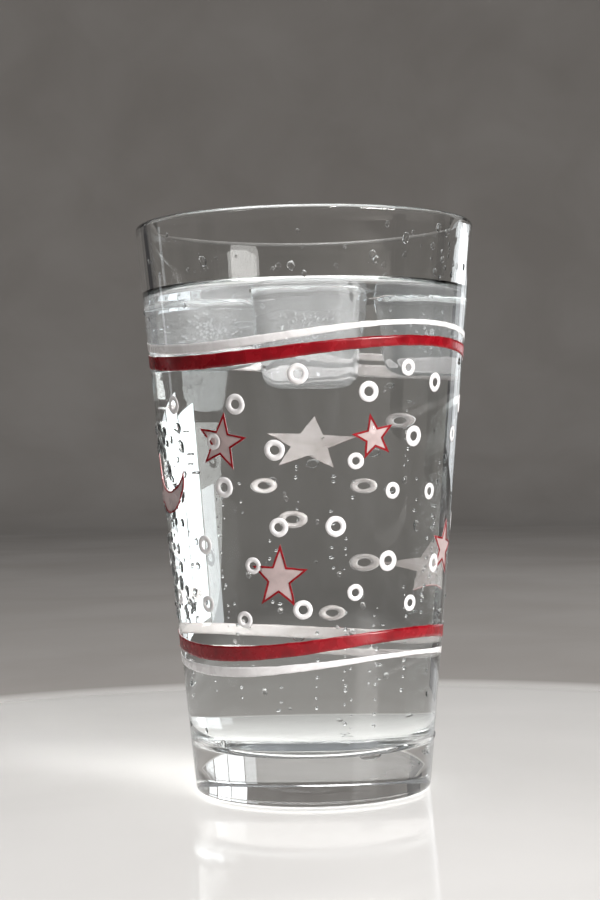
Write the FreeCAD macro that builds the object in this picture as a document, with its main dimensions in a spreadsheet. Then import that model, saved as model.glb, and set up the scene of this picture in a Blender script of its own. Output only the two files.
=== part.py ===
# A printed pint tumbler of iced water: a conical soda-lime glass with a heavy base, its fired enamel
# decoration, the water in it, three ice cubes that float at the surface, and drops on the wall.
# Units are millimetres. The origin is the centre of the foot, +Z points up through the mouth, and -Y
# is the side that faces a person. Angles round the glass are in degrees from -Y towards +X.

import FreeCAD, Part
import math
import os
import Sketcher
from FreeCAD import Matrix, Placement, Vector

doc = FreeCAD.newDocument("pint_tumbler")

# ---------------------------------------------------------------- driving dimensions

DIMENSIONS = {
    # the glass: a 16 oz conical tumbler
    "glass_height": 149.0,
    "rim_radius": 44.8,
    "base_radius": 31.1,
    "wall_top": 2.8,
    "floor_height": 11.7,
    "floor_radius": 27.1,
    "floor_round": 8.0,
    "heel_round": 1.6,
    "rim_round": 1.1,
    "punt_depth": 0.9,
    "punt_radius": 22.0,
    "foot_inner": 24.5,
    # the water
    "water_level": 130.6,
    "meniscus_rise": 1.4,
    "meniscus_edge": 0.15,
    "meniscus_round": 1.35,
    "ice_clearance": 0.3,
    # the ice cubes, which a tray with drafted walls moulds
    "ice_room_above": 3.0,
    "ice_draft_angle": 5.0,
    "ice_corner_round": 5.0,
    "ice_foot_round": 4.2,
    "ice_top_round": 2.4,
    # the enamel: each firing adds one layer
    "enamel_layer": 0.1,
    "outline_width": 0.5,
    # the wavy bands: two waves round the glass
    "waves": 2,
    "upper_line_height": 118.1,
    "upper_line_swing": 2.8,
    "upper_line_width": 1.8,
    "upper_line_swell": 0.6,
    "upper_band_height": 114.0,
    "upper_band_swing": 2.3,
    "upper_band_width": 3.1,
    "upper_band_swell": 0.5,
    "lower_band_height": 40.7,
    "lower_band_swing": 2.15,
    "lower_band_width": 3.4,
    "lower_band_swell": 0.4,
    "lower_line_height": 35.8,
    "lower_line_swing": 1.85,
    "lower_line_width": 1.8,
    "lower_line_swell": 0.7,
    # the printed shapes
    "ring_large": 5.2,
    "ring_medium": 4.8,
    "ring_small": 4.2,
    "ring_hole_share": 0.46,
    "star_waist": 0.42,
    "moon_radius": 11.0,
    "moon_bite_radius": 11.4,
    "moon_bite_offset": 6.4,
}

sizes = doc.addObject("Spreadsheet::Sheet", "sizes")
for row, (alias, value) in enumerate(DIMENSIONS.items(), start=1):
    sizes.set(f"A{row}", alias)
    sizes.set(f"B{row}", str(value))
    sizes.setAlias(f"B{row}", alias)
doc.recompute()


def size(alias):
    """The sheet's value for an alias."""
    return float(getattr(sizes, alias))


def bound(expression):
    """An expression over aliases as the document writes it: each alias gets the sheet's name."""
    words = []
    for word in expression.split():
        words.append(f"sizes.{word}" if word in DIMENSIONS else word)
    return " ".join(words)


def worth(expression):
    """The number that a sum of aliases and numbers, such as 'rim_radius - wall_top', has now."""
    total, sign = 0.0, 1.0
    for word in expression.split():
        if word in ("+", "-"):
            sign = 1.0 if word == "+" else -1.0
        else:
            total += sign * (size(word) if word in DIMENSIONS else float(word))
    return total


# ---------------------------------------------------------------- helpers for bodies and sketches


def new_body(name):
    """An empty PartDesign body with this label."""
    body = doc.addObject("PartDesign::Body", name)
    body.Label = name
    return body


def new_sketch(body, name, role, height="0"):
    """A sketch on one of the body's origin planes, lifted along that plane's normal."""
    sketch = body.newObject("Sketcher::SketchObject", name)
    plane = next(f for f in body.Origin.OriginFeatures if f.Role == role)
    sketch.AttachmentSupport = (plane, [""])
    sketch.MapMode = "FlatFace"
    if height != "0":
        sketch.setExpression(".AttachmentOffset.Base.z", bound(height))
    return sketch


def draw_outline(sketch, corners):
    """A closed outline of straight lines. Each corner is a pair of expressions, held by dimensions."""
    points = [Vector(worth(x), worth(y), 0) for x, y in corners]
    for i, start in enumerate(points):
        sketch.addGeometry(Part.LineSegment(start, points[(i + 1) % len(points)]), False)
    for i in range(len(points)):
        following = (i + 1) % len(points)
        sketch.addConstraint(Sketcher.Constraint("Coincident", i, 2, following, 1))
    for i, (x, y) in enumerate(corners):
        hold(sketch, "DistanceX", i, x, -2)
        hold(sketch, "DistanceY", i, y, -1)


def hold(sketch, kind, line, expression, axis):
    """Dimensions a line's start from the sketch's origin, or puts it on the axis where that is 0."""
    value = worth(expression)
    if abs(value) < 1e-9:
        sketch.addConstraint(Sketcher.Constraint("PointOnObject", line, 1, axis))
        return
    index = sketch.addConstraint(Sketcher.Constraint(kind, -1, 1, line, 1, value))
    if any(word in DIMENSIONS for word in expression.split()):
        sketch.setExpression(f"Constraints[{index}]", bound(expression))


def circles(feature, radius, height):
    """The names of a feature's circular edges with this radius round the Z axis at this height."""
    found = []
    for i, edge in enumerate(feature.Shape.Edges, start=1):
        curve = edge.Curve
        if not isinstance(curve, Part.Circle):
            continue
        if abs(curve.Radius - radius) < 1e-3 and abs(curve.Center.z - height) < 1e-3:
            found.append(f"Edge{i}")
    return found


def revolve(body, sketch, name):
    """Turns a half profile in the XZ plane round the Z axis."""
    turned = body.newObject("PartDesign::Revolution", name)
    turned.Profile = sketch
    turned.ReferenceAxis = (sketch, ["V_Axis"])
    turned.Angle = 360
    doc.recompute()
    return turned


def fillet(body, base, edges, name, alias):
    """Rounds the named edges of a feature by the sheet's radius."""
    rounded = body.newObject("PartDesign::Fillet", name)
    rounded.Base = (base, edges)
    rounded.Radius = size(alias)
    rounded.setExpression("Radius", bound(alias))
    doc.recompute()
    return rounded


# ---------------------------------------------------------------- the glass


def wall_radius(height):
    """The outer wall's radius at a height."""
    share = height / size("glass_height")
    return size("base_radius") + (size("rim_radius") - size("base_radius")) * share


def bore_radius(height):
    """The inner wall's radius at a height above the floor."""
    top = size("rim_radius") - size("wall_top")
    share = (height - size("floor_height")) / (size("glass_height") - size("floor_height"))
    return size("floor_radius") + (top - size("floor_radius")) * share


def make_glass():
    """The tumbler: one turned solid with a thick base, a shallow punt and rounded heel, rim and floor."""
    body = new_body("glass_body")
    profile = new_sketch(body, "glass_profile", "XZ_Plane")
    draw_outline(
        profile,
        [
            ("0", "punt_depth"),
            ("punt_radius", "punt_depth"),
            ("foot_inner", "0"),
            ("base_radius", "0"),
            ("rim_radius", "glass_height"),
            ("rim_radius - wall_top", "glass_height"),
            ("floor_radius", "floor_height"),
            ("0", "floor_height"),
        ],
    )
    shape = revolve(body, profile, "glass_turned")
    heel = circles(shape, size("base_radius"), 0)
    shape = fillet(body, shape, heel, "heel", "heel_round")
    floor = circles(shape, size("floor_radius"), size("floor_height"))
    shape = fillet(body, shape, floor, "floor_corner", "floor_round")
    rim = circles(shape, size("rim_radius"), size("glass_height"))
    rim += circles(shape, size("rim_radius") - size("wall_top"), size("glass_height"))
    fillet(body, shape, rim, "fire_polished_rim", "rim_round")
    return body


# ---------------------------------------------------------------- the ice and the water

# name, centre X, centre Y, turn about Z in degrees, width at the top, height of its foot, height of its top
ICE_CUBES = [
    ("ice_cube_left", -18.0, 14.0, 12.0, 22.0, 112.4, 132.4),
    ("ice_cube_middle", 0.5, -14.5, -4.0, 25.0, 105.6, 133.0),
    ("ice_cube_right", 23.5, 12.5, 24.0, 20.0, 109.6, 132.4),
]


def square_corners(half):
    """The corners of a square about the origin, with the half side as an expression."""
    return [(f"- {half}", f"- {half}"), (half, f"- {half}"), (half, half), (f"- {half}", half)]


def drafted_block(body, name, half_low, z_low, z_high):
    """A block on a square foot that widens upwards by the ice's draft, as its tray moulds it."""
    foot = new_sketch(body, f"{name}_foot_square", "XY_Plane")
    foot.AttachmentOffset = Placement(Vector(0, 0, z_low), FreeCAD.Rotation())
    draw_outline(foot, square_corners(str(half_low)))
    block = body.newObject("PartDesign::Pad", name)
    block.Profile = foot
    block.Length = z_high - z_low
    block.TaperAngle = size("ice_draft_angle")
    block.setExpression("TaperAngle", "sizes.ice_draft_angle")
    doc.recompute()
    return block


def edges_within(feature, low, high):
    """The names of a feature's edges that lie between two heights."""
    names = []
    for i, edge in enumerate(feature.Shape.Edges, start=1):
        box = edge.BoundBox
        if low - 0.01 < box.ZMin and box.ZMax < high + 0.01:
            names.append(f"Edge{i}")
    return names


def rounded_block(body, name, width, z_foot, z_top):
    """A drafted block with this width at its top, with rounded corners and a rounded foot."""
    narrowing = (z_top - z_foot) * math.tan(math.radians(size("ice_draft_angle")))
    block = drafted_block(body, f"{name}_block", width / 2 - narrowing, z_foot, z_top)
    ends = edges_within(block, z_foot, z_foot) + edges_within(block, z_top, z_top)
    uprights = [edge for edge in edges_within(block, z_foot, z_top) if edge not in ends]
    shape = fillet(body, block, uprights, f"{name}_corners", "ice_corner_round")
    return fillet(body, shape, edges_within(shape, z_foot, z_foot), f"{name}_foot", "ice_foot_round")


def make_ice(name, x, y, turn, width, z_foot, z_top):
    """One tray-moulded cube, narrower at the foot, with rounded corners, foot and top."""
    body = new_body(name)
    block = rounded_block(body, name, width, z_foot, z_top)
    fillet(body, block, edges_within(block, z_top, z_top), f"{name}_top", "ice_top_round")
    body.Placement = Placement(Vector(x, y, 0), FreeCAD.Rotation(Vector(0, 0, 1), turn))
    return body


def make_water():
    """The water before the ice: it fills the bore to its level and climbs the wall in a meniscus."""
    body = new_body("water_body")
    brim = size("water_level") + size("meniscus_rise")
    profile = new_sketch(body, "water_profile", "XZ_Plane")
    draw_outline(
        profile,
        [
            ("0", "floor_height"),
            ("floor_radius", "floor_height"),
            (str(bore_radius(brim)), "water_level + meniscus_rise"),
            ("0", "water_level + meniscus_rise"),
        ],
    )
    shape = revolve(body, profile, "water_turned")
    floor = circles(shape, size("floor_radius"), size("floor_height"))
    fillet(body, shape, floor, "water_floor_corner", "floor_round")
    lens = new_sketch(body, "surface_circle", "XY_Plane", "water_level + meniscus_rise")
    reach = bore_radius(size("water_level")) - size("meniscus_edge")
    lens.addGeometry(Part.Circle(Vector(), Vector(0, 0, 1), reach), False)
    lens.addConstraint(Sketcher.Constraint("Coincident", 0, 3, -1, 1))
    lens.addConstraint(Sketcher.Constraint("Radius", 0, reach))
    dish = body.newObject("PartDesign::Pocket", "surface_dish")
    dish.Profile = lens
    dish.Length = size("meniscus_rise")
    dish.setExpression("Length", bound("meniscus_rise"))
    doc.recompute()
    edge = circles(dish, reach, size("water_level"))
    fillet(body, dish, edge, "meniscus", "meniscus_round")
    return body


def make_ice_room(name, x, y, turn, width, z_foot, z_top):
    """The room that one cube takes up in the water: its block, grown by the clearance and open upwards."""
    body = new_body(f"{name}_room")
    gap, above = size("ice_clearance"), size("ice_room_above")
    widening = above * math.tan(math.radians(size("ice_draft_angle")))
    rounded_block(body, body.Name, width + 2 * (gap + widening), z_foot - gap, z_top + above)
    body.Placement = Placement(Vector(x, y, 0), FreeCAD.Rotation(Vector(0, 0, 1), turn))
    return body


# ---------------------------------------------------------------- the enamel decoration


def make_layer(number):
    """One fired layer over the whole wall, as a thin conical shell. Layer 1 lies on the glass, 2 on 1."""
    cones = []
    for step in (number, number - 1):
        cone = doc.addObject("Part::Cone", f"wall_cone_{number}_{step}")
        cone.setExpression("Radius1", f"sizes.base_radius + {step} * sizes.enamel_layer")
        cone.setExpression("Radius2", f"sizes.rim_radius + {step} * sizes.enamel_layer")
        cone.setExpression("Height", "sizes.glass_height")
        cones.append(cone)
    layer = doc.addObject("Part::Cut", f"enamel_layer_{number}")
    layer.Base, layer.Tool = cones
    doc.recompute()
    return layer


def wall_frame(angle, height, turn=0.0):
    """The placement of a flat drawing on the wall: X round the glass, Y up the wall, Z out of it."""
    a = math.radians(angle)
    lean = math.atan2(size("rim_radius") - size("base_radius"), size("glass_height"))
    outward = Vector(math.sin(a), -math.cos(a), 0)
    round_it = Vector(math.cos(a), math.sin(a), 0)
    up_wall = outward * math.sin(lean) + Vector(0, 0, math.cos(lean))
    normal = round_it.cross(up_wall)
    at = outward * wall_radius(height) + Vector(0, 0, height)
    matrix = Matrix(
        round_it.x, up_wall.x, normal.x, at.x,
        round_it.y, up_wall.y, normal.y, at.y,
        round_it.z, up_wall.z, normal.z, at.z,
        0, 0, 0, 1,
    )
    return Placement(matrix).multiply(Placement(Vector(), FreeCAD.Rotation(Vector(0, 0, 1), turn)))


PRINT_DEPTH = 4.0  # how deep a drawing is extruded into the wall, past the wall's curve
PRINT_PROUD = 1.0  # how far it stands out of the wall


def stamp(face, place):
    """A flat face at the origin, made into a prism through the wall at a place."""
    prism = face.extrude(Vector(0, 0, PRINT_DEPTH + PRINT_PROUD))
    prism.translate(Vector(0, 0, -PRINT_DEPTH))
    prism.transformShape(place.toMatrix())
    return prism


def add_print(name, layer, prisms):
    """A sub-part of the decoration: the layer's enamel inside these prisms."""
    block = doc.addObject("Part::Feature", f"{name}_stamp")
    block.Shape = prisms[0] if len(prisms) == 1 else Part.makeCompound(prisms)
    fired = doc.addObject("Part::Common", name)
    fired.Label = name
    fired.Base = layer
    fired.Tool = block
    return fired


def star_face(radius, stretch):
    """A five-pointed star with its first point up, and its height stretched by a factor."""
    points = []
    for k in range(10):
        a = math.radians(90 + 36 * k)
        reach = radius if k % 2 == 0 else radius * size("star_waist")
        points.append(Vector(reach * math.cos(a), reach * stretch * math.sin(a), 0))
    return Part.Face(Part.makePolygon(points + points[:1]))


def outline_of(face):
    """The strip along a flat face's edge, as wide as the printed outlines."""
    return face.cut(face.makeOffset2D(-size("outline_width"), join=2))


def moon_face():
    """A crescent with its horns up."""
    outer = Part.Face(Part.Wire(Part.makeCircle(size("moon_radius"))))
    bite_centre = Vector(0, size("moon_bite_offset"), 0)
    bite = Part.Face(Part.Wire(Part.makeCircle(size("moon_bite_radius"), bite_centre)))
    return outer.cut(bite).Faces[0]


def ring_face(alias):
    """A flat ring of one of the three sizes."""
    radius = size(alias) / 2
    hole = Part.Face(Part.Wire(Part.makeCircle(radius * size("ring_hole_share"))))
    return Part.Face(Part.Wire(Part.makeCircle(radius))).cut(hole)


# number, angle, height, radius over the points, how much taller than wide, turn
STARS = [
    (1, -32.8, 91.7, 7.5, 1.0, -11.0),
    (2, 24.3, 92.4, 6.0, 1.0, 12.0),
    (3, -12.0, 57.9, 7.4, 1.15, -4.0),
    (4, 69.0, 63.6, 7.6, 1.0, -9.0),
    (5, 179.5, 92.9, 7.4, 1.05, 6.0),
    (6, 150.0, 58.8, 7.6, 1.0, -12.0),
    (7, -112.0, 62.0, 7.4, 1.1, 10.0),
    (8, -140.0, 93.5, 6.4, 1.0, -8.0),
]

# number, angle, height, turn
MOONS = [(1, -70.5, 84.6, -14.0), (2, 112.0, 86.0, 12.0)]

# size, then angle and height of each ring
RINGS = {
    "ring_large": [
        (-3, 108), (22, 103.5), (42, 92.5), (10, 70.5), (-12, 89.5), (-26, 101), (32, 61.5),
        (-33, 80.5), (-122, 78), (90, 70), (-100, 104), (132, 104),
    ],
    "ring_medium": [
        (-11.5, 70.5), (60, 60), (52.5, 106), (-3, 50), (-57, 101.5), (-45, 66), (166.5, 59.8),
        (-176, 72), (143, 76), (-86, 62), (-150, 52), (98, 55), (-150, 104), (81, 101),
    ],
    "ring_small": [
        (38, 109.5), (71, 93), (17.5, 86.5), (33, 79), (53, 78.5), (18, 54), (44.5, 50.5),
        (-22.5, 61), (-27.5, 47.5), (-46, 51), (-36.3, 92), (159.5, 99), (-169.5, 81.5), (167, 81),
        (174.5, 46), (130, 48), (-92, 48.5), (-122, 100), (-70, 52), (-132, 47), (122, 66), (-148, 76),
    ],
}


def ring_stamps():
    """The prisms of all rings, by size."""
    stamps = {}
    for alias, places in RINGS.items():
        stamps[alias] = [stamp(ring_face(alias), wall_frame(angle, height)) for angle, height in places]
    return stamps


def add_drawing(name, face, place, layers, rings):
    """A white drawing in the first layer and its thin red outline in the second, open where rings lie."""
    for label, drawn, layer in (("white", face, layers[0]), ("red_outline", outline_of(face), layers[1])):
        prism = stamp(drawn, place)
        over = [ring for ring in rings if ring.BoundBox.intersect(prism.BoundBox)]
        parts.append(add_print(f"{name}_{label}", layer, [prism.cut(over) if over else prism]))


def make_drawings(layers):
    """The stars, the crescent moons and the rings, which lie over the stars' points."""
    stamps = ring_stamps()
    rings = [ring for group in stamps.values() for ring in group]
    for number, angle, height, radius, stretch, turn in STARS:
        face, place = star_face(radius, stretch), wall_frame(angle, height, turn)
        add_drawing(f"star_{number}", face, place, layers, rings)
    for number, angle, height, turn in MOONS:
        add_drawing(f"moon_{number}", moon_face(), wall_frame(angle, height, turn), layers, rings)
    for alias, group in stamps.items():
        parts.append(add_print(f"{alias.replace('ring', 'rings')}_white", layers[0], group))


WAVE_POINTS = 96  # points on each edge curve of a wavy band


def wave_edge(height, swing, offset, swell, side, proud):
    """A closed curve round the wall at the upper (side 1) or lower (-1) edge of a wavy band."""
    points = []
    for k in range(WAVE_POINTS):
        a = 2 * math.pi * k / WAVE_POINTS
        wave = math.sin(size("waves") * a)
        z = height + swing * wave + side * (offset - swell * wave) / 2
        radius = wall_radius(z) + proud
        points.append(Vector(radius * math.sin(a), -radius * math.cos(a), z))
    curve = Part.BSplineCurve()
    curve.interpolate(Points=points, PeriodicFlag=True)
    return curve.toShape()


def make_band(name, alias, layer):
    """A wavy band of one layer, between four curves on the wall."""
    height, swing = size(f"{alias}_height"), size(f"{alias}_swing")
    width, swell = size(f"{alias}_width"), size(f"{alias}_swell")
    inside, outside = (layer - 1) * size("enamel_layer"), layer * size("enamel_layer")
    corners = [(-1, inside), (-1, outside), (1, outside), (1, inside)]
    edges = [wave_edge(height, swing, width, swell, side, proud) for side, proud in corners]
    faces = [Part.makeRuledSurface(edges[i], edges[(i + 1) % 4]) for i in range(4)]
    shell = Part.makeShell(faces)
    shell.sewShape()
    band = Part.makeSolid(Part.Shell(shell.Faces))
    if band.Volume < 0:
        band.reverse()
    feature = doc.addObject("Part::Feature", name)
    feature.Label = name
    feature.Shape = band
    parts.append(feature)


# ---------------------------------------------------------------- drops on the wall

# angle, height, radius of the drop's ball; they sit clear of the enamel
OUTER_DROPS = [
    (-63, 96, 1.3), (-66, 63, 1.5), (-58, 57, 1.2), (-74, 58, 1.3), (-50, 73, 1.1), (-56, 47, 1.0),
    (-38, 74, 1.0), (-22, 67.5, 0.9), (-18, 80, 0.8), (4, 62, 0.8), (2, 79, 0.8), (8, 98, 0.9),
    (12, 106, 0.9), (30, 123.5, 1.2), (-21, 123.5, 1.0), (-57, 129, 1.2), (48, 70, 0.9), (58, 85, 0.9),
    (-12, 27, 1.0), (6, 22, 0.9), (24, 29, 0.9), (-34, 24, 1.0), (45, 25, 0.9), (-55, 18, 0.9),
    (85, 82, 1.1), (120, 30, 1.1), (150, 84, 1.0), (-100, 80, 1.1), (-125, 28, 1.2), (-160, 64, 1.0),
]
INNER_DROPS = [
    (-40, 139, 1.3), (-8, 141, 1.2), (15, 143, 1.2), (52, 137.5, 1.4), (140, 141, 1.3), (-120, 138, 1.3),
]
DROP_SINK = 0.45  # how deep a drop's ball lies in the wall, as a share of its radius
SPLASH_SINK = 0.08  # the same for the fresh splashes inside, which stand up rounder


def ball(place, radius, lift):
    """A ball of water, its centre lifted this far out of the wall at a place."""
    drop = Part.makeSphere(radius)
    drop.translate(Vector(0, 0, lift))
    drop.transformShape(place.toMatrix())
    return drop


def make_drops():
    """Drops of water: balls cut off by the wall that they cling to."""
    solid_wall = Part.makeCone(wall_radius(0), size("rim_radius"), size("glass_height"))
    drops = []
    for angle, height, radius in OUTER_DROPS:
        drops.append(ball(wall_frame(angle, height), radius, -radius * DROP_SINK).cut(solid_wall))
    outside = doc.addObject("Part::Feature", "condensation_drops")
    outside.Label = "condensation_drops"
    outside.Shape = Part.makeCompound(drops)
    low, high = size("floor_height"), size("glass_height")
    bore = Part.makeCone(bore_radius(low), bore_radius(high), high - low, Vector(0, 0, low))
    drops = []
    for angle, height, radius in INNER_DROPS:
        place = wall_frame(angle, height)
        wall = wall_radius(height) - bore_radius(height)
        drops.append(ball(place, radius, radius * SPLASH_SINK - wall).common(bore))
    inside = doc.addObject("Part::Feature", "splash_drops")
    inside.Label = "splash_drops"
    inside.Shape = Part.makeCompound(drops)
    parts.extend([outside, inside])


# ---------------------------------------------------------------- assembly and export

parts = [make_glass()]
water_fill = make_water()
rooms = []
for cube in ICE_CUBES:
    parts.append(make_ice(*cube))
    rooms.append(make_ice_room(*cube))
ice_rooms = doc.addObject("Part::MultiFuse", "ice_rooms")
ice_rooms.Shapes = rooms
water = doc.addObject("Part::Cut", "water")
water.Label = "water"
water.Base = water_fill
water.Tool = ice_rooms
parts.append(water)

layer_one, layer_two = make_layer(1), make_layer(2)
make_band("upper_line_white", "upper_line", 1)
make_band("upper_band_white_base", "upper_band", 1)
make_band("upper_band_red", "upper_band", 2)
make_band("lower_band_white_base", "lower_band", 1)
make_band("lower_band_red", "lower_band", 2)
make_band("lower_line_white", "lower_line", 1)
make_drawings((layer_one, layer_two))
make_drops()
doc.recompute()

for thing in doc.Objects:
    if "Invalid" in thing.State or "Error" in thing.State:
        raise RuntimeError(f"{thing.Name} failed: {thing.State}")
for part in parts:
    if part.Shape.isNull() or not part.Shape.isValid() or not part.Shape.Solids:
        raise RuntimeError(f"{part.Label} has no valid shape")

os.makedirs("parts", exist_ok=True)
for part in parts:
    part.Shape.exportStep(os.path.join("parts", f"{part.Label}.step"))
    box = part.Shape.BoundBox
    print(f"{part.Label:28s} solids {len(part.Shape.Solids):3d}  volume {part.Shape.Volume:10.2f}  "
          f"z {box.ZMin:7.2f} to {box.ZMax:7.2f}")
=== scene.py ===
"""The looks of a printed pint glass of iced water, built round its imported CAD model.

Units are metres. +Z is up the glass's axis, the origin is at the table, and -Y faces the camera.
Angles round the glass are counted from -Y towards +X. Everything but the ice rides on body "glass".
"""

import math
import random

import bmesh
import bpy
from mathutils import Euler, Matrix, Vector, noise


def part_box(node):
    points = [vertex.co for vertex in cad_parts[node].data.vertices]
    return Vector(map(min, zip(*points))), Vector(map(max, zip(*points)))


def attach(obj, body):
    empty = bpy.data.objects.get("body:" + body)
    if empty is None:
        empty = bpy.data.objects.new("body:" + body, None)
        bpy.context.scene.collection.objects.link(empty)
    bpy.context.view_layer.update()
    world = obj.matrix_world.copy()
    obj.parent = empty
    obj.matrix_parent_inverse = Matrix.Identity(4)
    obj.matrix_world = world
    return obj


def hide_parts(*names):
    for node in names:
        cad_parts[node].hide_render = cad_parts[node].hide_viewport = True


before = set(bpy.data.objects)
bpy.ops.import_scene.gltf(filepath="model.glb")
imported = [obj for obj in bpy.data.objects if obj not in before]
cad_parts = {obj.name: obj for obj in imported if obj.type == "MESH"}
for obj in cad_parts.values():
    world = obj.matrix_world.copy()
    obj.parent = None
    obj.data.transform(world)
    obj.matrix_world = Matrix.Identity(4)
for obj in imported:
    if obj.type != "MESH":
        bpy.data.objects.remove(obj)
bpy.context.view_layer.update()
MM = 0.001
random.seed(16)

# ---------------------------------------------------------------- sizes, from the CAD boxes

GLASS_HIGH = Vector(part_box("glass_body")[1])
WATER_LOW, WATER_HIGH = (Vector(corner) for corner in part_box("water"))
CUBES = [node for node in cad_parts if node.startswith("ice_cube")]
PRINTS = [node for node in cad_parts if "_white" in node or "_red" in node]

HEIGHT = GLASS_HIGH.z
RIM_ROUND = 1.1 * MM
WALL_LEAN = 0.0919  # radius that the outer wall gains per unit of height
BORE_LEAN = 0.1085  # the same for the inner wall
WALL_TOP = 2.8 * MM
FLOOR_HEIGHT = WATER_LOW.z
FLOOR_ROUND = 8.0 * MM
HEEL_ROUND = 1.6 * MM
PUNT_DEPTH = 0.9 * MM
PUNT_RADIUS = 22.0 * MM
FOOT_INNER = 24.5 * MM
MENISCUS_RISE = 1.4 * MM
WATER_LEVEL = WATER_HIGH.z - MENISCUS_RISE
MENISCUS_REACH = 1.7 * MM  # distance in which the meniscus falls to about a third
WET_GAP = 0.02 * MM  # the water's skin stands this far inside the bore
ENAMEL_LAYER = 0.1 * MM
ICE_GAP = 0.2 * MM
ICE_VOXEL = 0.7 * MM  # grid on which the cubes are meshed again
ICE_MELT = 0.45 * MM  # mean depth of the melted skin
HAZE_INSET = 1.6 * MM
FLAW_COUNT = 150
FLAW_REACH = 0.66  # share of a cube's half width that its trapped bubbles keep to
HAZE_SHARE = {"ice_cube_left": 1.0, "ice_cube_middle": 0.79}  # the hazy share of a cube's width
PRINT_EDGE = 0.9 * MM  # longest edge of a print's mesh
BUBBLE_STRINGS = 48

# refractive indices; a face between two clear materials takes their ratio
IOR_GLASS = 1.5
IOR_WATER = 1.333
IOR_GLASS_TO_WATER = IOR_GLASS / IOR_WATER
IOR_AIR_IN_WATER = 1 / IOR_WATER
IOR_ICE = 1.31
IOR_WET_ICE = 1.09  # between its value in water, near 1, and in air, so a lifted cube still shows


def wall_radius(z):
    """The outer wall's radius at a height."""
    return GLASS_HIGH.x + WALL_LEAN * (z - HEIGHT + RIM_ROUND)


def bore_radius(z):
    """The inner wall's radius at a height."""
    return WATER_HIGH.x + BORE_LEAN * (z - WATER_HIGH.z)


def round_glass(angle, radius, z):
    """The point at an angle (radians from -Y towards +X), a radius and a height."""
    return Vector((radius * math.sin(angle), -radius * math.cos(angle), z))


# ---------------------------------------------------------------- mesh helpers


def add_object(name, mesh, body="glass"):
    """Links a mesh as a piece of a body."""
    piece = bpy.data.objects.new(name, mesh)
    bpy.context.scene.collection.objects.link(piece)
    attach(piece, body)
    return piece


def mesh_from(bm, name, smooth=True):
    """Turns a bmesh into a mesh with outward normals."""
    bmesh.ops.recalc_face_normals(bm, faces=bm.faces)
    mesh = bpy.data.meshes.new(name)
    bm.to_mesh(mesh)
    bm.free()
    mesh.validate()
    if smooth:
        mesh.shade_smooth()
    return mesh


def rounded(corners, arc_steps=7):
    """A polyline through (radius, z, rounding) corners, with each rounding drawn as an arc."""
    line = []
    for i, (r, z, rounding) in enumerate(corners):
        here = Vector((r, z))
        if rounding == 0:
            line.append(here)
            continue
        back = (Vector(corners[i - 1][:2]) - here).normalized()
        ahead = (Vector(corners[(i + 1) % len(corners)][:2]) - here).normalized()
        half = back.angle(ahead) / 2
        centre = here + (back + ahead).normalized() * rounding / math.sin(half)
        start = here + back * rounding / math.tan(half) - centre
        end = here + ahead * rounding / math.tan(half) - centre
        for step in range(arc_steps + 1):
            line.append(centre + start.slerp(end, step / arc_steps) * rounding)
    return line


def divided(line, longest):
    """The same polyline with its long runs cut into even steps."""
    points = [line[0]]
    for start, end in zip(line, line[1:]):
        steps = max(1, math.ceil((end - start).length / longest))
        points += [start.lerp(end, step / steps) for step in range(1, steps + 1)]
    return points


def lathe(line, segments=240):
    """A bmesh that turns a polyline of (radius, z) round the Z axis. Its ends are on the axis."""
    bm = bmesh.new()
    rings = []
    for r, z in line:
        count = 1 if r < 1e-7 else segments
        rings.append([bm.verts.new(round_glass(2 * math.pi * k / segments, r, z)) for k in range(count)])
    for low, high in zip(rings, rings[1:]):
        for k in range(segments):
            below = [low[k % len(low)], low[(k + 1) % len(low)]]
            above = [high[(k + 1) % len(high)], high[k % len(high)]]
            bm.faces.new(list(dict.fromkeys(below + above)))
    return bm


def join_shapes(shapes):
    """One bmesh that holds copies of (mesh, matrix) pairs."""
    bm = bmesh.new()
    for mesh, matrix in shapes:
        before = len(bm.verts)
        bm.from_mesh(mesh)
        bm.verts.ensure_lookup_table()
        bmesh.ops.transform(bm, matrix=matrix, verts=bm.verts[before:])
    return bm


def lump_mesh(name, subdivisions, roughness, flat_below=None):
    """A unit ball with a slightly uneven skin, and if asked a flat underside."""
    bm = bmesh.new()
    bmesh.ops.create_icosphere(bm, subdivisions=subdivisions, radius=1)
    seed = Vector((random.random(), random.random(), random.random())) * 50
    for vertex in bm.verts:
        vertex.co *= 1 + roughness * noise.noise(vertex.co * 1.3 + seed)
        if flat_below is not None:
            vertex.co.z = max(vertex.co.z, flat_below)
    return mesh_from(bm, name)


# ---------------------------------------------------------------- materials


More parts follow.
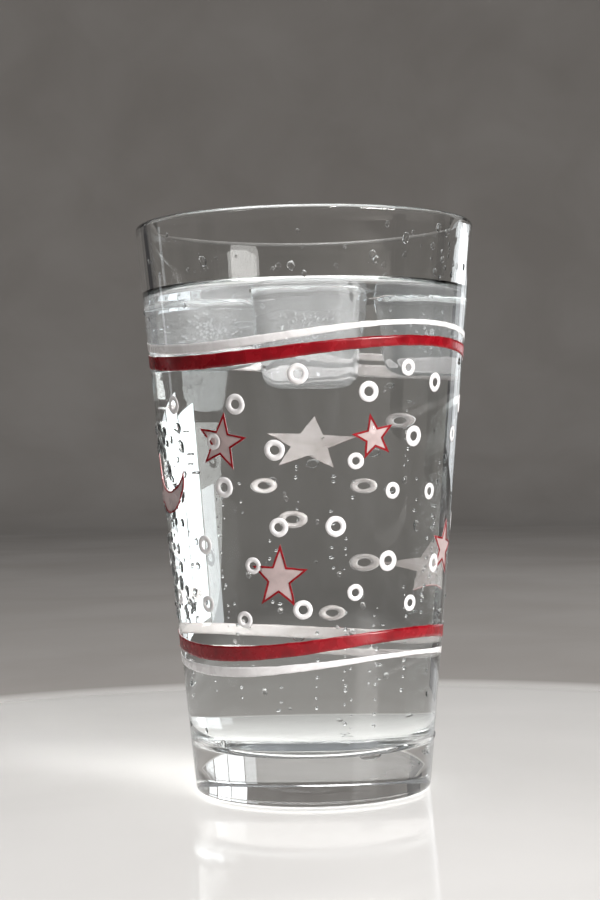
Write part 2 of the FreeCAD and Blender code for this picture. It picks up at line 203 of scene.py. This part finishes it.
class Nodes:
    """A material's node tree, with short calls to add and link nodes."""

    def __init__(self, name):
        self.material = bpy.data.materials.new(name)
        self.material.use_nodes = True
        self.tree = self.material.node_tree
        self.tree.nodes.clear()
        self.output = self.add("ShaderNodeOutputMaterial")

    def add(self, kind, **values):
        node = self.tree.nodes.new(kind)
        for key, value in values.items():
            if key in node.inputs:
                node.inputs[key].default_value = value
            else:
                setattr(node, key, value)
        return node

    def link(self, start, end):
        self.tree.links.new(start, end)

    def noise(self, scale, detail=3.0, distortion=0.0):
        """A noise texture over the object's own coordinates; scale is in features per metre."""
        place = self.add("ShaderNodeTexCoord")
        texture = self.add("ShaderNodeTexNoise", Scale=scale, Detail=detail, Distortion=distortion)
        self.link(place.outputs["Object"], texture.inputs["Vector"])
        return texture.outputs["Fac"]

    def spread(self, value, low, high, start=0.35, end=0.65):
        """Maps a texture's middle range to the range low to high."""
        ranged = self.add("ShaderNodeMapRange")
        self.link(value, ranged.inputs["Value"])
        for key, number in (("From Min", start), ("From Max", end), ("To Min", low), ("To Max", high)):
            ranged.inputs[key].default_value = number
        return ranged.outputs["Result"]

    def ramp(self, value, stops):
        """A colour ramp over a value, from (position, colour) stops."""
        node = self.add("ShaderNodeValToRGB")
        elements = node.color_ramp.elements
        while len(elements) < len(stops):
            elements.new(0.5)
        for element, (position, colour) in zip(elements, stops):
            element.position = position
            element.color = (*colour, 1)
        self.link(value, node.inputs["Fac"])
        return node.outputs["Color"]

    def bump(self, height, strength, distance):
        node = self.add("ShaderNodeBump", Strength=strength, Distance=distance)
        self.link(height, node.inputs["Height"])
        return node.outputs["Normal"]

    def finish(self, shader):
        self.link(shader.outputs[0], self.output.inputs["Surface"])
        return self.material

    def finish_clear(self, shader):
        """Ends a clear material: lamp light passes it, so the table under it isn't black."""
        path = self.add("ShaderNodeLightPath")
        passing = self.add("ShaderNodeBsdfTransparent")
        mix = self.add("ShaderNodeMixShader")
        self.link(path.outputs["Is Shadow Ray"], mix.inputs["Fac"])
        self.link(shader.outputs[0], mix.inputs[1])
        self.link(passing.outputs[0], mix.inputs[2])
        return self.finish(mix)


def clear_material(name, colour, ior, wave=0.0, wave_scale=60.0, smear=0.0, clearness=1.0):
    """A clear solid or liquid. wave bends its surface a little, smear roughens it in soft patches."""
    nodes = Nodes(name)
    shader = nodes.add("ShaderNodeBsdfPrincipled", IOR=ior)
    shader.inputs["Base Color"].default_value = (*colour, 1)
    shader.inputs["Transmission Weight"].default_value = clearness
    nodes.link(nodes.spread(nodes.noise(90.0, 4.0, 0.6), 0.0, smear), shader.inputs["Roughness"])
    if wave:
        height = nodes.noise(wave_scale, 2.0)
        nodes.link(nodes.bump(height, wave, 0.2 * MM), shader.inputs["Normal"])
    return nodes.finish_clear(shader)


def unseen_skin_material(name):
    """The sides of the water where it meets glass or ice: those faces already bend the light."""
    nodes = Nodes(name)
    shader = nodes.add("ShaderNodeBsdfTransparent", Color=(0.985, 0.992, 0.995, 1))
    return nodes.finish(shader)


def enamel_material(name, light, dark, gloss, cover=1.0):
    """Fired enamel: a glossy, slightly grainy and uneven coat that a little light passes through.

    cover below 1 is a thin coat that what lies behind it shows through.
    """
    nodes = Nodes(name)
    patches = nodes.noise(260.0, 4.0, 0.3)
    colour = nodes.ramp(patches, [(0.3, dark), (0.62, light)])
    shader = nodes.add("ShaderNodeBsdfPrincipled", IOR=1.5, Alpha=cover)
    nodes.link(colour, shader.inputs["Base Color"])
    nodes.link(nodes.spread(patches, gloss, gloss + 0.12), shader.inputs["Roughness"])
    nodes.link(nodes.bump(nodes.noise(5200.0, 2.0), 0.25, 0.03 * MM), shader.inputs["Normal"])
    glow = nodes.add("ShaderNodeBsdfTranslucent")
    nodes.link(colour, glow.inputs["Color"])
    mix = nodes.add("ShaderNodeMixShader", Fac=0.12)
    nodes.link(shader.outputs[0], mix.inputs[1])
    nodes.link(glow.outputs[0], mix.inputs[2])
    return nodes.finish(mix)


def veil_material(name, colour, thin, thick):
    """A see-through grey sheet of noise wisps that mostly let what is behind them through."""
    nodes = Nodes(name)
    shader = nodes.add("ShaderNodeBsdfPrincipled", Roughness=0.8)
    shader.inputs["Base Color"].default_value = (*colour, 1)
    wisps = nodes.noise(330.0, 5.0, 1.2)
    nodes.link(nodes.spread(wisps, thin, thick), shader.inputs["Alpha"])
    return nodes.finish(shader)


def stage_material():
    """A pale, faintly mottled table with a soft gloss, which runs out into a matt grey backdrop."""
    nodes = Nodes("pale_table")
    mottle = nodes.noise(7.0, 5.0, 0.4)
    pale = nodes.ramp(mottle, [(0.3, (0.70, 0.69, 0.67)), (0.7, (0.78, 0.77, 0.75))])
    grey = nodes.ramp(mottle, [(0.3, (0.24, 0.225, 0.21)), (0.7, (0.28, 0.265, 0.25))])
    place = nodes.add("ShaderNodeTexCoord")
    distance = nodes.add("ShaderNodeVectorMath", operation="LENGTH")
    nodes.link(place.outputs["Object"], distance.inputs[0])
    beyond = nodes.spread(distance.outputs["Value"], 0, 1, TABLE_RADIUS, TABLE_RADIUS * 1.15)
    colour = nodes.add("ShaderNodeMix", data_type="RGBA")
    nodes.link(beyond, colour.inputs["Factor"])
    nodes.link(pale, colour.inputs["A"])
    nodes.link(grey, colour.inputs["B"])
    shader = nodes.add("ShaderNodeBsdfPrincipled", IOR=1.35)
    nodes.link(colour.outputs["Result"], shader.inputs["Base Color"])
    gloss = nodes.spread(nodes.noise(24.0, 4.0), 0.05, 0.11)
    rough = nodes.add("ShaderNodeMath", operation="MAXIMUM")
    nodes.link(gloss, rough.inputs[0])
    nodes.link(beyond, rough.inputs[1])
    nodes.link(rough.outputs[0], shader.inputs["Roughness"])
    return nodes.finish(shader)


DRY_GLASS = clear_material("glass_dry", (0.985, 0.995, 0.99), IOR_GLASS, 0.05, 45.0, 0.02)
WET_GLASS = clear_material("glass_wetted", (0.985, 0.995, 0.99), IOR_GLASS_TO_WATER, 0.05, 45.0)
WATER_TOP = clear_material("water_surface", (0.99, 0.995, 1.0), IOR_WATER, 0.06, 120.0)
WATER_SIDE = unseen_skin_material("water_side")
DRY_ICE = clear_material("ice_dry", (0.97, 0.985, 1.0), IOR_ICE, 0.25, 260.0, 0.06, 0.97)
WET_ICE = clear_material("ice_wet", (0.97, 0.985, 1.0), IOR_WET_ICE, 0.3, 220.0, 0.03, 0.97)
ICE_FLAWS = clear_material("ice_flaws", (1, 1, 1), 1 / IOR_ICE, 0.3, 900.0, 0.2)
# Grey see-through sheets inside the left and middle cubes, each ending flat at its right edge.
ICE_HAZE = veil_material("ice_haze", (0.46, 0.455, 0.45), 0.15, 0.3)
DROP_WATER = clear_material("drop_water", (0.99, 0.995, 1.0), IOR_WATER)
AIR_BUBBLE = clear_material("air_bubble", (1, 1, 1), IOR_AIR_IN_WATER)
WHITE_ENAMEL = enamel_material("white_enamel", (0.88, 0.87, 0.87), (0.78, 0.76, 0.76), 0.22)
# Stars and moon: a thin white coat (cover 0.86) whose colour is painted darker and pinker. This is
# painted shade for how they look with bright light behind them.
THIN_SHADED_ENAMEL = enamel_material("white_enamel_thin_painted_shade", (0.60, 0.48, 0.47), (0.46, 0.37, 0.36), 0.3, 0.86)
# The white prints' side against the glass, seen through the water: a much darker grey copy of the white
# enamel. The back of fired enamel is a little greyer, but most of this darkness is painted shade.
INNER_SIDE_SHADED_ENAMEL = enamel_material(
    "white_enamel_inner_side_painted_shade", (0.34, 0.31, 0.30), (0.25, 0.22, 0.21), 0.35, 0.8
)
RED_ENAMEL = enamel_material("red_enamel", (0.29, 0.0, 0.007), (0.18, 0.0, 0.004), 0.2)

# ---------------------------------------------------------------- the glass and the water


def make_glass():
    """The tumbler, turned from one closed profile. Below the water its bore is of the wet glass."""
    rim = wall_radius(HEIGHT)
    corners = [
        (0, PUNT_DEPTH, 0),
        (PUNT_RADIUS, PUNT_DEPTH, 2 * MM),
        (FOOT_INNER, 0, 0.8 * MM),
        (wall_radius(0), 0, HEEL_ROUND),
        (rim, HEIGHT, RIM_ROUND),
        (rim - WALL_TOP, HEIGHT, RIM_ROUND),
        (bore_radius(WATER_HIGH.z), WATER_HIGH.z, 0),
        (bore_radius(FLOOR_HEIGHT), FLOOR_HEIGHT, FLOOR_ROUND),
        (0, FLOOR_HEIGHT, 0),
    ]
    bm = lathe(divided(rounded(corners), 3 * MM))
    mesh = mesh_from(bm, "tumbler")
    mesh.materials.append(DRY_GLASS)
    mesh.materials.append(WET_GLASS)
    for face in mesh.polygons:
        middle = face.center
        if FLOOR_HEIGHT - WET_GAP < middle.z < WATER_HIGH.z:
            depth = wall_radius(middle.z) - math.hypot(middle.x, middle.y)
            face.material_index = 1 if depth > WALL_TOP / 2 else 0
    piece = add_object("tumbler", mesh)
    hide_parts("glass_body")


def water_line():
    """The water's profile: up the bore, over the meniscus and in to the axis."""
    corners = [
        (0, FLOOR_HEIGHT + WET_GAP, 0),
        (bore_radius(FLOOR_HEIGHT) - WET_GAP, FLOOR_HEIGHT + WET_GAP, FLOOR_ROUND),
        (bore_radius(WATER_HIGH.z) - WET_GAP, WATER_HIGH.z, 0),
    ]
    line = divided(rounded(corners), 4 * MM)
    edge = line[-1].x
    for step in range(1, 25):
        inward = 10 * MM * (step / 24) ** 2
        height = WATER_LEVEL + MENISCUS_RISE * math.exp(-inward / MENISCUS_REACH)
        line.append(Vector((edge - inward, height)))
    line.append(Vector((0, WATER_LEVEL)))
    return divided(line, 4 * MM)


def ice_copy(node, name, grow):
    """A fine, evenly meshed copy of a CAD cube, its skin moved out by grow."""
    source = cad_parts[node]
    block = bpy.data.objects.new(name, source.data.copy())
    bpy.context.scene.collection.objects.link(block)
    remesh = block.modifiers.new("even", "REMESH")
    remesh.mode = "VOXEL"
    remesh.voxel_size = ICE_VOXEL
    smooth = block.modifiers.new("soften", "SMOOTH")
    smooth.iterations = 6
    graph = bpy.context.evaluated_depsgraph_get()
    mesh = bpy.data.meshes.new_from_object(block.evaluated_get(graph))
    bpy.data.objects.remove(block)
    mesh.name = name
    mesh.materials.clear()
    for vertex, normal in zip(mesh.vertices, [v.normal.copy() for v in mesh.vertices]):
        vertex.co += normal * grow
    return mesh


def make_water():
    """The water, with a rounded pocket for each cube."""
    mesh = mesh_from(lathe(water_line()), "iced_water")
    piece = add_object("iced_water", mesh)
    cutters = []
    for node in CUBES:
        cutter = bpy.data.objects.new(f"room_{node}", ice_copy(node, f"room_{node}", ICE_GAP))
        bpy.context.scene.collection.objects.link(cutter)
        cut = piece.modifiers.new(node, "BOOLEAN")
        cut.operation = "DIFFERENCE"
        cut.solver = "EXACT"
        cut.object = cutter
        cutters.append(cutter)
    graph = bpy.context.evaluated_depsgraph_get()
    carved = bpy.data.meshes.new_from_object(piece.evaluated_get(graph))
    piece.modifiers.clear()
    for cutter in cutters:
        bpy.data.objects.remove(cutter)
    carved.materials.clear()
    carved.materials.append(WATER_SIDE)
    carved.materials.append(WATER_TOP)
    for face in carved.polygons:
        outside = math.hypot(face.center.x, face.center.y) > bore_radius(face.center.z) - 2 * WET_GAP
        face.material_index = 1 if face.center.z > WATER_LEVEL - WET_GAP and not outside else 0
    carved.shade_smooth()
    piece.data = carved
    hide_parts("water")


def make_cube(node):
    """One ice cube with a melted, slightly hollowed skin, which has its wet material in the water."""
    mesh = ice_copy(node, f"{node}_melted", 0)
    low, high = (Vector(corner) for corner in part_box(node))
    seed = Vector((low.x, high.y, low.z)) * 700
    for vertex, normal in zip(mesh.vertices, [v.normal.copy() for v in mesh.vertices]):
        dents = noise.noise(vertex.co * 110 + seed) + 0.4 * noise.noise(vertex.co * 320 + seed)
        vertex.co -= normal * ICE_MELT * (1 + dents)
    mesh.materials.append(WET_ICE)
    mesh.materials.append(DRY_ICE)
    for face in mesh.polygons:
        face.material_index = 1 if face.center.z > WATER_LEVEL else 0
    mesh.shade_smooth()
    piece = add_object(f"{node}_melted", mesh, node)
    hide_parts(node)
    if node in HAZE_SHARE:
        make_haze(node, low.x + (high.x - low.x) * HAZE_SHARE[node])
    make_flaws(node, low, high)


def make_haze(node, right_edge):
    """A grey see-through sheet in a cube: a slightly smaller copy of it that ends flat at its right
    edge.
    """
    bm = bmesh.new()
    bm.from_mesh(ice_copy(node, f"{node}_heart", -HAZE_INSET))
    whole = bm.verts[:] + bm.edges[:] + bm.faces[:]
    cut = bmesh.ops.bisect_plane(
        bm, geom=whole, plane_co=(right_edge, 0, 0), plane_no=(1, 0, 0), clear_outer=True
    )
    rim = [part for part in cut["geom_cut"] if isinstance(part, bmesh.types.BMEdge)]
    bmesh.ops.holes_fill(bm, edges=rim)
    mesh = mesh_from(bm, f"{node}_haze")
    mesh.materials.append(ICE_HAZE)
    add_object(f"{node}_haze", mesh, node)


def make_flaws(node, low, high):
    """Fine trapped bubbles, thickest in the middle of a cube."""
    middle = (low + high) / 2
    reach = (high - low) / 2
    bubble = lump_mesh("flaw", 2, 0.2)
    shapes = []
    for _ in range(FLAW_COUNT):
        way = Vector((random.gauss(0, 0.2), random.gauss(0, 0.2), random.gauss(0, 0.28)))
        if max(abs(part) for part in way) > FLAW_REACH:
            continue
        at = middle + Vector((way.x * reach.x, way.y * reach.y, way.z * reach.z))
        width = random.uniform(0.06, 0.24) * MM
        turn = (way + Vector((0, 0, 0.3))).to_track_quat("Z", "Y").to_matrix().to_4x4()
        size = Matrix.Diagonal((width, width, width * random.uniform(1, 2.2), 1))
        shapes.append((bubble, Matrix.Translation(at) @ turn @ size))
    mesh = mesh_from(join_shapes(shapes), f"{node}_bubbles")
    mesh.materials.append(ICE_FLAWS)
    add_object(f"{node}_bubbles", mesh, node)


# ---------------------------------------------------------------- the enamel prints


def wobble(point):
    """The screen print's small errors of place, the same for every layer at one spot."""
    shift = noise.noise_vector(point * 420) * 0.10 + noise.noise_vector(point * 1300) * 0.05
    return shift * MM


def make_print(node):
    """A finely meshed copy of one printed layer that follows the wall's true curve."""
    bm = bmesh.new()
    bm.from_mesh(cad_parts[node].data)
    bmesh.ops.remove_doubles(bm, verts=bm.verts, dist=1e-7)
    depth = bm.verts.layers.float.new("depth")
    proud = {v: math.hypot(v.co.x, v.co.y) - wall_radius(v.co.z) for v in bm.verts}
    halfway = (min(proud.values()) + max(proud.values())) / 2
    for vertex, height in proud.items():
        vertex[depth] = 1 if height > halfway else 0
    for _ in range(5):
        long_edges = [edge for edge in bm.edges if edge.calc_length() > PRINT_EDGE]
        if not long_edges:
            break
        bmesh.ops.subdivide_edges(bm, edges=long_edges, cuts=1)
        bmesh.ops.triangulate(bm, faces=bm.faces)
    first = ENAMEL_LAYER if "_red" in node else 0
    for vertex in bm.verts:
        angle = math.atan2(vertex.co.x, -vertex.co.y)
        shift = wobble(vertex.co)
        z = vertex.co.z + shift.z
        radius = wall_radius(z) + first + ENAMEL_LAYER * (0.08 + 0.9 * vertex[depth])
        vertex.co = round_glass(angle + shift.x / radius, radius, z)
    inner = [all(vertex[depth] < 0.01 for vertex in face.verts) for face in bm.faces]
    mesh = mesh_from(bm, f"{node}_print", smooth=False)
    if "_red" in node:
        mesh.materials.append(RED_ENAMEL)
    else:
        # the stars and moon take the thin coat with its painted shade
        drawing = node.startswith(("star", "moon"))
        mesh.materials.append(THIN_SHADED_ENAMEL if drawing else WHITE_ENAMEL)
        # faces against the glass take the darker copy: painted shade
        mesh.materials.append(INNER_SIDE_SHADED_ENAMEL)
        mesh.polygons.foreach_set("material_index", [int(side) for side in inner])
    piece = add_object(f"{node}_print", mesh)
    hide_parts(node)


# ---------------------------------------------------------------- drops and bubbles


def on_wall(angle, z, inside, spin=0.0):
    """The frame of a spot on the wall: Z points away from the glass, X up the wall."""
    radius, lean = (bore_radius(z), BORE_LEAN) if inside else (wall_radius(z), WALL_LEAN)
    outward = round_glass(angle, 1, 0)
    up = (outward * lean + Vector((0, 0, 1))).normalized()
    normal = outward - up * outward.dot(up)
    normal = -normal.normalized() if inside else normal.normalized()
    side = normal.cross(up)
    turn = Matrix((up, side, normal)).transposed().to_4x4()
    return Matrix.Translation(round_glass(angle, radius, z)) @ turn @ Matrix.Rotation(spin, 4, "Z")


def scatter_drops(count, size_range, pick_place, inside, flatness):
    """Drops on the wall at places that pick_place gives, as (mesh, matrix) pairs."""
    kinds = [lump_mesh("drop", 3, 0.22, -0.08) for _ in range(5)]
    shapes = []
    for _ in range(count):
        angle, z = pick_place()
        width = random.uniform(*size_range) * random.uniform(0.6, 1) * MM
        size = Matrix.Diagonal((width * random.uniform(0.95, 1.5), width, width * flatness, 1))
        shapes.append((random.choice(kinds), on_wall(angle, z, inside, random.gauss(0, 0.25)) @ size))
    return shapes


def weather_side():
    """A place on the outside where the drops are dense and large: the left of the glass."""
    return math.radians(random.gauss(-74, 12)), random.uniform(44, 97) * MM


def anywhere_outside():
    """A place anywhere on the outer wall."""
    return random.uniform(-math.pi, math.pi), random.uniform(8, 137) * MM


def above_water():
    """A place on the inner wall above the water."""
    return random.uniform(-math.pi, math.pi), random.uniform(133.5, 146) * MM


def make_drops():
    """Condensation outside and splashes inside, each one mesh of many drops."""
    outside = scatter_drops(105, (0.7, 1.9), weather_side, False, 0.42)
    outside += scatter_drops(170, (0.35, 1.1), anywhere_outside, False, 0.45)
    mesh = mesh_from(join_shapes(outside), "condensation")
    mesh.materials.append(DROP_WATER)
    piece = add_object("condensation", mesh)
    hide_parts("condensation_drops")
    inside = scatter_drops(50, (0.4, 1.2), above_water, True, 0.5)
    mesh = mesh_from(join_shapes(inside), "splashes")
    mesh.materials.append(DROP_WATER)
    piece = add_object("splashes", mesh)
    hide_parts("splash_drops")


def make_bubbles():
    """Strings of air bubbles that climb the bore. Every other string is on the side of the camera."""
    ball = lump_mesh("bubble", 3, 0.03)
    shapes = []
    for string in range(BUBBLE_STRINGS):
        angle = random.uniform(-math.pi, math.pi) / (1 + string % 2)
        bottom = random.uniform(18, 90) * MM
        for step in range(random.randint(3, 9)):
            radius = random.uniform(0.2, 0.5) * MM
            z = bottom + step * random.uniform(2.2, 4.0) * MM
            if z > WATER_LEVEL - 3 * MM:
                break
            shift = angle + random.gauss(0, 0.006)
            at = round_glass(shift, bore_radius(z) - radius - 0.1 * MM, z)
            shapes.append((ball, Matrix.Translation(at) @ Matrix.Scale(radius, 4)))
    mesh = mesh_from(join_shapes(shapes), "water_bubbles")
    mesh.materials.append(AIR_BUBBLE)
    add_object("water_bubbles", mesh)


# ---------------------------------------------------------------- stage, lights and camera

TABLE_RADIUS = 0.20  # where the pale table starts to run out into the backdrop
WINDOW_DISTANCE = 0.95
ROOM_RADIUS = 2.2
WALL_HEIGHT = 2.4
SWEEP_ROUND = 0.5
FLAG_DISTANCE = 0.7
FLAG_HEIGHT = 0.7
FLAGS = [(-44, 0.17), (-112, 0.14), (74, 0.16), (112, 0.14)]  # degrees from straight behind, and width


def around(azimuth, distance, height):
    """A point at an azimuth (degrees from straight behind to the right), a distance and a height."""
    away = math.radians(azimuth)
    return Vector((distance * math.sin(away), distance * math.cos(away), height))


def add_stage(name, mesh):
    """Links a mesh as part of the set, which isn't part of the object."""
    piece = bpy.data.objects.new(name, mesh)
    bpy.context.scene.collection.objects.link(piece)
    return piece


def make_stage():
    """A table that runs back to a wall, in one sweep on every side."""
    line = rounded([(0, 0, 0), (ROOM_RADIUS, 0, SWEEP_ROUND), (ROOM_RADIUS, WALL_HEIGHT, 0)], 10)
    sweep = mesh_from(lathe(line, 96), "sweep")
    sweep.flip_normals()
    sweep.materials.append(stage_material())
    add_stage("sweep", sweep)


def add_panel(name, shape, place, width, height, power, colour):
    """A soft light that faces the glass. It shows in glass and water, but not as a thing in the room."""
    panel = bpy.data.lights.new(name, "AREA")
    panel.shape = shape
    panel.size, panel.size_y = width, height
    panel.energy = power
    panel.color = colour
    lamp = bpy.data.objects.new(name, panel)
    lamp.location = place
    aim = Vector((0, 0, HEIGHT / 2)) - Vector(place)
    lamp.rotation_euler = aim.to_track_quat("-Z", "Y").to_euler()
    lamp.visible_camera = False
    bpy.context.scene.collection.objects.link(lamp)


def add_pane(name, azimuth, low, high, width, glow):
    """An upright window pane behind the glass, turned by degrees from straight behind to the right."""
    place = around(azimuth, WINDOW_DISTANCE, (low + high) / 2)
    power = glow * math.pi * width * (high - low)
    add_panel(name, "RECTANGLE", place, width, high - low, power, (0.93, 0.97, 1.0))


def flag_material():
    """Matt black card, faintly mottled."""
    nodes = Nodes("black_card")
    black = nodes.ramp(nodes.noise(30.0), [(0.3, (0.006, 0.006, 0.008)), (0.7, (0.012, 0.012, 0.015))])
    shader = nodes.add("ShaderNodeBsdfPrincipled", Roughness=0.9)
    nodes.link(black, shader.inputs["Base Color"])
    return nodes.finish(shader)


def add_flags():
    """Black cards beside the glass, out of the picture, for the dark edges that clear glass needs."""
    black = flag_material()
    for number, (azimuth, width) in enumerate(FLAGS):
        bm = bmesh.new()
        bmesh.ops.create_grid(bm, size=0.5)
        mesh = mesh_from(bm, f"flag_{number}", smooth=False)
        mesh.materials.append(black)
        card = add_stage(f"flag_{number}", mesh)
        turn = Matrix.Rotation(-math.radians(azimuth), 4, "Z") @ Matrix.Rotation(math.pi / 2, 4, "X")
        size = Matrix.Diagonal((width, FLAG_HEIGHT, 1, 1))
        spot = around(azimuth, FLAG_DISTANCE, FLAG_HEIGHT / 2)
        card.matrix_world = Matrix.Translation(spot) @ turn @ size
        card.visible_camera = False
        card.visible_shadow = False
        card.visible_diffuse = False


def make_lights():
    """A window behind on the right, which the water shows on the left, and three lights for the room.

    The key is the main light from in front, spark gives each drop its small highlight, and top is soft.
    """
    add_pane("dim_pane", 19.5, 0.02, 0.13, 0.07, 0.5)
    add_pane("near_pane", 26, 0.03, 0.20, 0.13, 1.3)
    add_pane("bright_pane", 35, 0.03, 0.22, 0.15, 2.2)
    add_pane("last_pane", 44.5, 0.03, 0.22, 0.13, 1.2)
    add_pane("far_pane", -62, 0.04, 0.15, 0.05, 1.4)
    add_panel("key", "ELLIPSE", (1.15, -0.95, 0.6), 0.7, 0.6, 36, (1.0, 0.98, 0.96))
    add_panel("spark", "ELLIPSE", (0.30, -0.75, 0.75), 0.07, 0.07, 3, (1.0, 0.95, 0.97))
    add_panel("top", "ELLIPSE", (-0.3, 0.1, 1.6), 1.0, 1.0, 12, (1.0, 1.0, 1.0))
    world = bpy.data.worlds.new("soft_room")
    world.use_nodes = True
    world.node_tree.nodes["Background"].inputs["Color"].default_value = (0.9, 0.94, 1.0, 1)
    world.node_tree.nodes["Background"].inputs["Strength"].default_value = 0.28
    bpy.context.scene.world = world


def make_camera():
    """The view from in front, at the height of the glass's middle, and rolled by one degree."""
    camera = bpy.data.cameras.new("camera")
    camera.sensor_fit = "VERTICAL"
    camera.sensor_height = 36
    camera.lens = 72.07
    camera.clip_start = 0.01
    eye = bpy.data.objects.new("camera", camera)
    eye.location = (0, -0.48, 88.24 * MM)
    ahead = Vector((-0.0043, 1, 0.0027)).normalized()
    level = ahead.to_track_quat("-Z", "Y")
    eye.rotation_euler = (level.to_matrix() @ Euler((0, 0, -0.0177)).to_matrix()).to_euler()
    bpy.context.scene.collection.objects.link(eye)
    bpy.context.scene.camera = eye


def set_light_paths():
    """Enough bounces for light to cross the glass, the water and the ice."""
    cycles = bpy.context.scene.cycles
    cycles.max_bounces = 24
    cycles.transmission_bounces = 24
    cycles.glossy_bounces = 12
    cycles.transparent_max_bounces = 32
    cycles.diffuse_bounces = 3
    cycles.sample_clamp_indirect = 6
    bpy.context.scene.view_settings.view_transform = "Standard"


# ---------------------------------------------------------------- the model

make_glass()
make_water()
for cube in CUBES:
    make_cube(cube)
for layer in PRINTS:
    make_print(layer)
make_drops()
make_bubbles()
make_stage()
add_flags()
make_lights()
make_camera()
set_light_paths()
